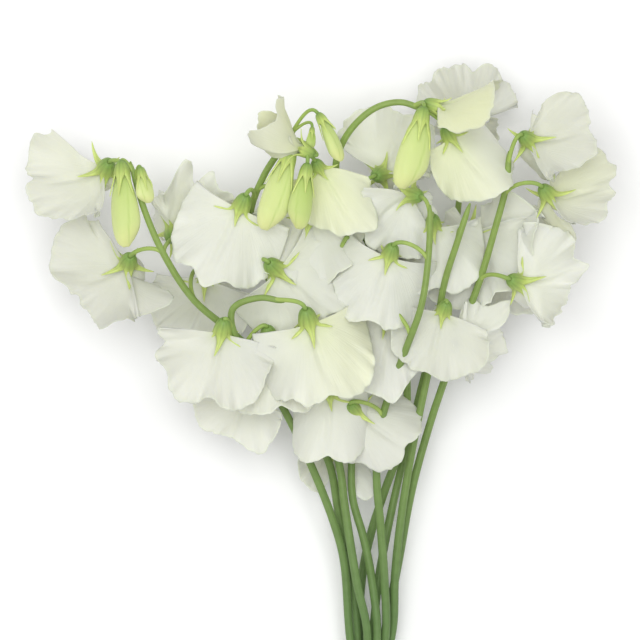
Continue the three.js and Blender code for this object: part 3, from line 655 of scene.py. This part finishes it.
# Colours of the buds
BUD_GREEN = np.array([0.40, 0.55, 0.13])
BUD_LIGHT = np.array([0.72, 0.79, 0.36])
BUD_END = np.array([0.80, 0.80, 0.34])
BUD_TONES = {
    "paler": 0.55, "sides": 0.10, "sides_at": 0.6,
    "end": 0.55, "end_from": 0.72, "line": 0.45, "line_half": 0.07,
}


def bud_half(t, width):
    """Half of a bud's width at the share t of its length."""
    along = np.linspace(0, 1, BUD_SAMPLES)
    wide = np.pad(np.interp(along, BUD_MARKS, BUD_HALF), BUD_SOFT // 2, mode="edge")
    soft = np.convolve(wide, np.ones(BUD_SOFT) / BUD_SOFT, mode="valid")
    return width / 2 * np.interp(t, along, soft)


def bud_tint(t, turn, seam, pale):
    """Green at the calyx, paler towards the tip, with a darker line at the petal's edge."""
    sides = BUD_TONES["sides"] * np.cos(2 * turn + BUD_TONES["sides_at"])
    share = clip01(pale + BUD_TONES["paler"] * t + sides)
    tint = blend(BUD_GREEN, BUD_LIGHT, share[..., None])
    end = BUD_TONES["end"] * clip01((t - BUD_TONES["end_from"]) / (1 - BUD_TONES["end_from"]))
    tint = blend(tint, BUD_END, end[..., None])
    line = BUD_TONES["line"] * bell(seam / BUD_TONES["line_half"])
    return blend(tint, BUD_GREEN, line[..., None])


def make_bud(bud, index, material):
    """A closed bud: a folded petal whose edge runs down one side, creased in front and with a
    soft ridge at the back."""
    name, _, at, tip, back, length, width, pale = bud
    own = frame_of(at, tip, back)
    hand = 1 if index % 2 else -1
    t = np.linspace(0, 1, BUD_ROWS)[:, None]
    turn = around(BUD_SIDES)
    half = bud_half(t, width)
    half[-2:, 0] = np.array(BUD_TIP) * width / 2
    seam = hand * (turn - math.pi / 2) - LAP["start"] + LAP["drift"] * t
    seam = np.mod(seam + math.pi, TURN) - math.pi
    fade = np.exp(-LAP["fade"] * np.clip(seam, 0, LAP["last"]))
    lap = 1 + LAP["height"] * clip01(seam / LAP["over"]) * fade
    from_crease = np.sin((turn - CREASE["at"]) / 2)
    from_ridge = np.sin((turn - RIDGE["at"] + hand * RIDGE["aside"]) / 2)
    crease = 1 - CREASE["height"] * bell(from_crease / CREASE["half"])
    ridge = 1 + RIDGE["height"] * bell(from_ridge / RIDGE["half"])
    deep = BUD_DEEP * half * np.where(np.sin(turn) > 0, BUD_BACK, BUD_FRONT)
    slant = BUD_SLANT * length * hand * np.cos(turn) * t ** 3 * half / (width / 2)
    rings = stacked(
        half * np.cos(turn) * lap,
        deep * np.sin(turn) * crease * ridge * lap - BUD_HOOK * length * t * t,
        BUD_FOOT + (length - BUD_FOOT) * t + slant)
    skin = Skin()
    tint = bud_tint(t, turn, seam, pale)
    skin.add(placed(own, rings), tube_faces(BUD_ROWS, BUD_SIDES), tint, stacked(turn, t))
    skin.build("petals_bud_" + name, material, "bud_" + name)


# Green parts
LEAF_GREEN = np.array([0.21, 0.345, 0.08])
STEM_GREEN = np.array([0.25, 0.355, 0.09])
FRESH_GREEN = np.array([0.36, 0.48, 0.12])
LOW_GREEN = np.array([0.13, 0.225, 0.072])
CALYX_GREEN = np.array([0.5, 0.62, 0.16])
SEPAL_GREEN = np.array([0.63, 0.73, 0.24])

# Calyx: sepals, place of the first as a share of a turn, those at the sides, length of its
# wall, lean of the wall along itself, points of one part, thickness, and the share of a sepal
# over which it turns from the wall's lean to its own
SEPALS = 5
FIRST_SEPAL = 0.25
SIDE_SEPALS = (1, 4)
CUP_WALL = 7.4
WALL_LEAN = (52, -102, 60)
CALYX_ROWS = 22
CALYX_COLUMNS = 7
CALYX_THICK = 0.5
SEPAL_RISE = 0.35

# How fast the streaks' pattern runs along a sepal and, for a millimetre, along a stem
CALYX_STREAK = 3
STEM_STREAK = 0.05

# Sepals by kind of bloom: lean from the keel line, lean of the two at the sides, curl of the
# tips, in degrees, and length
SEPAL_FORMS = {
    "bud": (15, 15, -4, 13),
    "upward": (80, 92, 0, 6),
    "nodding": (70, 90, 14, 11),
    "hooded": (36, 64, 20, 9),
}

# A keel with more than this height in its direction points up
UPWARD = 0.5

# How the sepals of a calyx differ: amount, rate from one to the next and shift with the seed,
# with lengths as shares, leans and curls in degrees and the sweep aside in millimetres
SWAYS = {
    "length": (0.14, 2.1, 1), "lean": (16, 1.9, 1), "side_lean": (6, 1.9, 1),
    "curl": (24, 2.7, 1.7), "sweep": (1.5, 1.7, 1),
}

# Form of a sepal: added curl on a bloom, share at which its lean is the mean one, power and
# share of its drawn-out outline, share lost where it turns, half width of its tip, bow of a
# part across itself and fold of its tip
SEPAL_CURL = 24
SEPAL_MEAN = 0.4
SEPAL_POWER = 2.6
SEPAL_DRAWN = 0.6
SEPAL_PINCH = 0.25
SEPAL_TIP = 0.06
SEPAL_BOW = 0.33
SEPAL_FOLD = 0.25

# Sepals that hold a bud: gap to it, the bud's back and front as they count it, height from
# which they do so, and the least share of the bud's radius that a point is moved out from
HUG = {"gap": 0.35, "back": 0.97, "front": 1.15, "from": 0.6, "least": 0.2}
CALYX_TONES = {"wall_from": 0.15, "sepal_power": 0.6, "midrib": 0.18, "midrib_half": 0.22}


def sepals_of(open_to, keel):
    """Form of the sepals; open_to is None for a bud."""
    if open_to is None:
        return SEPAL_FORMS["bud"]
    if keel[2] > UPWARD:
        return SEPAL_FORMS["upward"]
    if open_to > NODDING:
        return SEPAL_FORMS["nodding"]
    return SEPAL_FORMS["hooded"]


def sway(kind, number, seed):
    """How far one sepal of a calyx differs from the mean one."""
    amount, rate, shift = SWAYS[kind]
    return amount * math.sin(rate * number + shift * seed)


def calyx_part(number, sepals, seed, vary):
    """Points of one fifth of a calyx, with the shares run along its wall and its sepal; vary
    is 0 where the sepals lie evenly and 1 where each has its own lean and curl."""
    lean, side_lean, curl, length = sepals
    turn = (FIRST_SEPAL + number / SEPALS) * TURN
    out = np.array([math.cos(turn), math.sin(turn), 0])
    across = np.array([-math.sin(turn), math.cos(turn), 0])
    length = length * (1 + sway("length", number, seed))
    if number in SIDE_SEPALS:
        lean = side_lean + vary * sway("side_lean", number, seed)
    else:
        lean = lean + vary * sway("lean", number, seed)
    curl = curl + vary * (SEPAL_CURL + sway("curl", number, seed))
    path = np.linspace(0, CUP_WALL + length, CALYX_ROWS)
    cup = clip01(path / CUP_WALL)
    u = clip01((path - CUP_WALL) / length)
    rise = clip01(u / SEPAL_RISE)
    w0, w1, w2 = WALL_LEAN
    wall = w0 + w1 * cup + w2 * cup * cup
    angle = blend(wall, lean + curl * (u - SEPAL_MEAN), rise) * DEG
    r = PEDICEL_R + summed(np.sin(angle[:-1]) * path[1])
    z = -CUP_LENGTH + summed(np.cos(angle[:-1]) * path[1])
    share = math.tan(math.pi / SEPALS)
    root = np.interp(CUP_WALL, path, r) * share
    blade = blend(1 - u ** SEPAL_POWER, (1 - u) ** SEPAL_POWER, SEPAL_DRAWN)
    half = np.where(u > 0, root * blade * (1 - SEPAL_PINCH * rise) + SEPAL_TIP, r * share)[:, None]
    sweep = (vary * sway("sweep", number, seed) * u ** 2)[:, None]
    v = np.linspace(-1, 1, CALYX_COLUMNS)
    normal = np.cos(angle)[:, None] * out - np.sin(angle)[:, None] * UP
    inward = -blend(out, normal, rise[:, None])
    bow = SEPAL_BOW * half * v ** 2 + SEPAL_FOLD * half * np.abs(v) * u[:, None]
    middle = r[:, None] * out + z[:, None] * UP
    grid = middle[:, None, :] + (half * v + sweep)[..., None] * across
    grid = grid + bow[..., None] * inward[:, None, :]
    return grid, cup[:, None], u[:, None], turn + v / 2


def calyx_tint(cup, u):
    """Green at the stalk, lighter along the wall and at the sepal's tip, with a darker midrib."""
    tint = blend(LEAF_GREEN, CALYX_GREEN, clip01(cup - CALYX_TONES["wall_from"]))
    tint = blend(tint, SEPAL_GREEN, u ** CALYX_TONES["sepal_power"])
    v = np.linspace(-1, 1, CALYX_COLUMNS)
    midrib = 1 - CALYX_TONES["midrib"] * bell(v / CALYX_TONES["midrib_half"])
    return tint[:, None, :] * midrib[None, :, None]


def hug_bud(grid, length, width):
    """Moves points of a sepal out to the bud's surface where they would be inside it."""
    t = clip01(grid[..., 2] / length)
    half = bud_half(t, width) + HUG["gap"]
    middle = -BUD_HOOK * length * t * t
    y = grid[..., 1] - middle
    deep = BUD_DEEP * half * np.where(y > 0, HUG["back"], HUG["front"])
    level = np.hypot(grid[..., 0] / half, y / deep)
    held = np.maximum(1, 1 / np.maximum(level, HUG["least"]))
    out = np.where(grid[..., 2] > HUG["from"], held, 1)
    grid[..., 0] *= out
    grid[..., 1] = middle + y * out


def add_calyx(skin, own, sepals, scale, seed, bud_size):
    """A bell of five parts, each going on into a long pointed sepal; bud_size is the length
    and width of the bud it holds, or None on a bloom."""
    for number in range(SEPALS):
        grid, cup, u, turn = calyx_part(number, sepals, seed, 0 if bud_size else 1)
        if bud_size:
            hug_bud(grid, bud_size[0] / scale, bud_size[1] / scale)
        skin.add_sheet(placed(own, grid, scale), CALYX_THICK * scale, calyx_tint(cup, u),
                       stacked(turn, CALYX_STREAK * u))


# Stems and side stalks: points round and along them, height of a stem's ridges, how its last
# rings narrow to the tip and how a stalk's first rings widen, as shares of the radius
STEM_SIDES = 20
STEM_RIB = 0.035
STEM_TAPER = [0.97, 0.88, 0.68, 0.3]
STEM_SPAN_POINTS = 8
STALK_SIDES = 12
STALK_POINTS = 22
STALK_FOOT = [1.25, 1.1]
STEM_MARKS = 160

# How straight a stalk starts and ends, as shares of its reach, and how its thickness follows
# the bloom's size
STALK_START = 0.4
STALK_END = 0.45
STALK_GROWTH = 0.3

# How much the sepals' pattern moves on from one calyx to the next
CALYX_SEED = 1.9

# Where a stem is a little thicker, by how much, and the width of that stretch along y
THICK_Y = -120
THICK_BY = 0.16
THICK_HALF = 45

# Where the green of the lower stems turns into that of the upper stems, along y
LOW_UNTIL = -150
LOW_OVER = 190

# A bud of this width has a calyx of full size
BUD_FULL = 14


def stem_points(name):
    slot, route = STEMS[name]
    turn = (slot or 0) * DEG
    reach = 0 if slot is None else SLOT_R
    dx, dz = reach * math.cos(turn), reach * math.sin(turn)
    held = [[BAND["x"] + s * dx, y, BAND_Z + s * dz] for s, y in (
        (END_SPREAD, STEM_END_Y + END_STAGGER * dx),
        (1, BAND["y"] - BAND_HOLD),
        (1, BAND["y"] + BAND_HOLD))]
    return np.array(held + route)


def stem_line(name):
    points = stem_points(name)
    return catmull(points, np.linspace(0, 1, STEM_SPAN_POINTS * (len(points) - 1) + 1))


def stalk_line(stem, own, scale):
    """A side stalk's curve, from the stem's line to the foot of the calyx."""
    marks, length = even(stem, STEM_MARKS)
    base = placed(own, [0, 0, 1 - CUP_LENGTH * scale])
    best = int(np.argmin(np.linalg.norm(marks - base, axis=1)))
    leave = max(1, best - round(PEDICEL_LEAD / (length / STEM_MARKS)))
    start = marks[leave]
    reach = np.linalg.norm(base - start)
    way = unit(marks[min(leave + 1, STEM_MARKS)] - marks[leave - 1])
    first = start + way * reach * STALK_START
    second = base - own[0][:, 2] * reach * STALK_END
    t = np.linspace(0, 1, STALK_POINTS)[:, None]
    return (start * (1 - t) ** 3 + 3 * first * t * (1 - t) ** 2
            + 3 * second * t * t * (1 - t) + base * t ** 3)


def carried_by(name):
    """What a stem carries: place, direction, back, size, opening and the size of a bud."""
    carried = []
    for _, stem, at, keel, back, open_to, _, _, size, _ in BLOOMS:
        if stem == name:
            carried.append((at, keel, back, size, open_to, None))
    for _, stem, at, tip, back, length, width, _ in BUDS:
        if stem == name:
            carried.append((at, tip, back, min(1, width / BUD_FULL), None, (length, width)))
    return carried


def add_stalk(skin, line, own, size):
    """A side stalk, a little wider where it leaves the stem."""
    stalk = stalk_line(line, own, size)
    radii = np.full(STALK_POINTS, PEDICEL_R * size ** STALK_GROWTH)
    radii[:2] *= STALK_FOOT
    along = np.linspace(0, 1, STALK_POINTS)[:, None]
    tint = blend(FRESH_GREEN, LEAF_GREEN, along ** 3)
    skin.add_tube(tube_rings(stalk, radii, STALK_SIDES), tint)


def make_stem(name, material):
    line = stem_line(name)
    share = np.linspace(0, 1, len(line))
    radii = STEM_FOOT_R + (STEM_TIP_R - STEM_FOOT_R) * share ** 2
    radii = radii + THICK_BY * bell((line[:, 1] - THICK_Y) / THICK_HALF)
    radii[-len(STEM_TAPER):] *= STEM_TAPER
    rise = clip01((line[:, 1] - LOW_UNTIL) / LOW_OVER)[:, None]
    run = summed(np.linalg.norm(np.diff(line, axis=0), axis=1))
    skin = Skin()
    skin.add_tube(tube_rings(line, radii, STEM_SIDES, STEM_RIB), blend(LOW_GREEN, STEM_GREEN, rise),
                  stacked(around(STEM_SIDES), STEM_STREAK * run[:, None]))
    for number, (at, forward, back, size, open_to, bud_size) in enumerate(carried_by(name)):
        own = frame_of(at, forward, back)
        add_stalk(skin, line, own, size)
        seed = CALYX_SEED * number + at[0]
        add_calyx(skin, own, sepals_of(open_to, forward), size, seed, bud_size)
    skin.build("greens_" + name, material, "stem_" + name)


# Band: points round it, and how far its outer edges are rounded, across and along
BAND_SIDES = 72
BAND_ROUND = (0.15, 0.2)
BAND_COLOR = [0.55, 0.50, 0.36]


def make_band(material):
    inner, outer, half = BAND["inner"], BAND["outer"], BAND["width"] / 2
    across, along = BAND_ROUND
    section = [(inner, -half), (inner, half)]
    section += [(r * BAND_FLAT, y) for r, y in (
        (outer - across, half), (outer, half - along), (outer, along - half), (outer - across, -half))]
    radius, place = np.array(section).T[:, :, None]
    turn = around(BAND_SIDES)
    points = stacked(BAND["x"] + radius * np.cos(turn), BAND["y"] + place,
                     BAND_Z + radius * np.sin(turn))
    points[..., 2] = np.maximum(points[..., 2], 0)
    faces = []
    for r in range(len(section)):
        for k in range(BAND_SIDES):
            here = r * BAND_SIDES
            there = (r + 1) % len(section) * BAND_SIDES
            ahead = (k + 1) % BAND_SIDES
            faces.append([here + k, there + k, there + ahead, here + ahead])
    skin = Skin()
    skin.add(points, faces, BAND_COLOR)
    skin.build("elastic_band", material, "band")


# Materials

def new_material(name, **settings):
    """A material whose shader has the given values; an underscore stands for a space."""
    material = bpy.data.materials.new(name)
    material.use_nodes = True
    shader = material.node_tree.nodes["Principled BSDF"]
    for key, value in settings.items():
        shader.inputs[key.replace("_", " ")].default_value = value
    return material


def add_node(material, kind, operation=None, **settings):
    node = material.node_tree.nodes.new(kind)
    if operation:
        node.operation = operation
    for key, value in settings.items():
        node.inputs[key.replace("_", " ")].default_value = value
    return node


def join(material, output, target):
    material.node_tree.links.new(output, target)


def object_noise(material, scale, **settings):
    """Noise in the object's own space."""
    place = add_node(material, "ShaderNodeTexCoord")
    noise = add_node(material, "ShaderNodeTexNoise", Scale=scale, **settings)
    join(material, place.outputs["Object"], noise.inputs["Vector"])
    return noise.outputs["Fac"]


def streaks(material, along, across):
    """Noise drawn out along the mesh's own pattern coordinates."""
    spread = add_node(material, "ShaderNodeAttribute")
    spread.attribute_name = "spread"
    stretch = add_node(material, "ShaderNodeVectorMath", "MULTIPLY")
    stretch.inputs[1].default_value = (across, along, 0)
    noise = add_node(material, "ShaderNodeTexNoise", Scale=1.0, Detail=3)
    join(material, spread.outputs["Vector"], stretch.inputs[0])
    join(material, stretch.outputs["Vector"], noise.inputs["Vector"])
    return noise.outputs["Fac"]


def streaked(material, value, lines, strength=1.6):
    """Noise with streaks added to it, around the same middle."""
    lower = add_node(material, "ShaderNodeMath", "SUBTRACT")
    lower.inputs[1].default_value = strength / 2
    both = add_node(material, "ShaderNodeMath", "MULTIPLY_ADD")
    both.inputs[1].default_value = strength
    join(material, value, lower.inputs[0])
    join(material, lines, both.inputs[0])
    join(material, lower.outputs[0], both.inputs[2])
    return both.outputs[0]


def add_tint(material, amount, scale, lines=None):
    """Base colour from the mesh's tint, varied a little by noise and, if given, by streaks."""
    tint = add_node(material, "ShaderNodeAttribute")
    tint.attribute_name = "tint"
    value = object_noise(material, scale, Detail=4)
    if lines:
        value = streaked(material, value, lines)
    ramp = add_node(material, "ShaderNodeMapRange", To_Min=1 - amount, To_Max=1 + amount)
    mix = add_node(material, "ShaderNodeVectorMath", "SCALE")
    join(material, value, ramp.inputs["Value"])
    join(material, tint.outputs["Color"], mix.inputs[0])
    join(material, ramp.outputs["Result"], mix.inputs["Scale"])
    shader = material.node_tree.nodes["Principled BSDF"]
    join(material, mix.outputs["Vector"], shader.inputs["Base Color"])


def add_bump(material, height, strength, distance):
    """Fine relief from a height between 0 and 1."""
    bump = add_node(material, "ShaderNodeBump", Strength=strength, Distance=distance)
    join(material, height, bump.inputs["Height"])
    shader = material.node_tree.nodes["Principled BSDF"]
    join(material, bump.outputs["Normal"], shader.inputs["Normal"])


def petal_material(name, glow):
    material = new_material(
        name, Roughness=0.55, Specular_IOR_Level=0.25, Sheen_Weight=0.15, Subsurface_Weight=glow,
        Subsurface_Radius=(1.0, 0.95, 0.7), Subsurface_Scale=0.0015)
    add_tint(material, amount=0.03, scale=90)
    add_bump(material, streaks(material, along=2.2, across=26), strength=0.35, distance=0.0006)
    return material


def green_material():
    material = new_material(
        "green_stem", Roughness=0.5, Specular_IOR_Level=0.35, Subsurface_Weight=0.12,
        Subsurface_Radius=(0.5, 1.0, 0.3), Subsurface_Scale=0.001)
    add_tint(material, amount=0.18, scale=260, lines=streaks(material, along=0.7, across=5.0))
    add_bump(material, object_noise(material, scale=1400), strength=0.25, distance=0.0002)
    return material


def band_material():
    material = new_material("natural_rubber", Roughness=0.7)
    add_tint(material, amount=0.08, scale=180)
    add_bump(material, object_noise(material, scale=900), strength=0.3, distance=0.0002)
    return material


def floor_material():
    return new_material(
        "pale_floor", Base_Color=(0.97, 0.97, 0.97, 1), Roughness=0.8, Specular_IOR_Level=0.2)


# Stage: floor, light and camera, in metres
FLOOR_SIZE = 12
FLOOR_DROP = 0.0002
SKY_STRENGTH = 0.52
LIGHTS = [("top", (-0.08, 0.22, 2.9), 60, 2.0), ("side", (-1.4, 0.6, 1.5), 1.5, 1.4)]
LIGHT_TARGET = (0, 0, 0.03)

# Camera: width of the view in millimetres on the plane at this height, and its rise above it
VIEW_WIDTH = 320
VIEW_PLANE_Z = 58
CAMERA_RISE = 2600
SENSOR = 36.0
CLIP_END = 50


def make_floor():
    bpy.ops.mesh.primitive_plane_add(size=FLOOR_SIZE, location=(0, 0, -FLOOR_DROP))
    floor = bpy.context.object
    floor.name = "floor"
    floor.data.materials.append(floor_material())


def make_lights():
    world = bpy.data.worlds.new("studio")
    bpy.context.scene.world = world
    world.use_nodes = True
    sky = world.node_tree.nodes["Background"]
    sky.inputs["Color"].default_value = (1, 1, 1, 1)
    sky.inputs["Strength"].default_value = SKY_STRENGTH
    for name, place, power, size in LIGHTS:
        light = bpy.data.lights.new(name, "AREA")
        light.energy = power
        light.size = size
        lamp = bpy.data.objects.new(name, light)
        lamp.location = place
        aim = Vector(LIGHT_TARGET) - Vector(place)
        lamp.rotation_euler = aim.to_track_quat("-Z", "Y").to_euler()
        bpy.context.collection.objects.link(lamp)


def make_camera():
    """A camera that looks straight down from far off, as the photo does."""
    data = bpy.data.cameras.new("camera")
    data.sensor_width = SENSOR
    data.lens = SENSOR * CAMERA_RISE / VIEW_WIDTH
    data.clip_end = CLIP_END
    camera = bpy.data.objects.new("camera", data)
    camera.location = (SHIFT[0] * MM, SHIFT[1] * MM, (VIEW_PLANE_Z + CAMERA_RISE) * MM)
    bpy.context.collection.objects.link(camera)
    bpy.context.scene.camera = camera


petal_skin = petal_material("petal", glow=0.35)
bud_skin = petal_material("bud_petal", glow=0.3)
green_skin = green_material()
for index, bloom in enumerate(BLOOMS):
    make_bloom(bloom, index, petal_skin)
for index, bud in enumerate(BUDS):
    make_bud(bud, index, bud_skin)
for stem in STEMS:
    make_stem(stem, green_skin)
make_band(band_material())
make_floor()
make_lights()
make_camera()
bpy.context.scene.view_settings.view_transform = "Standard"
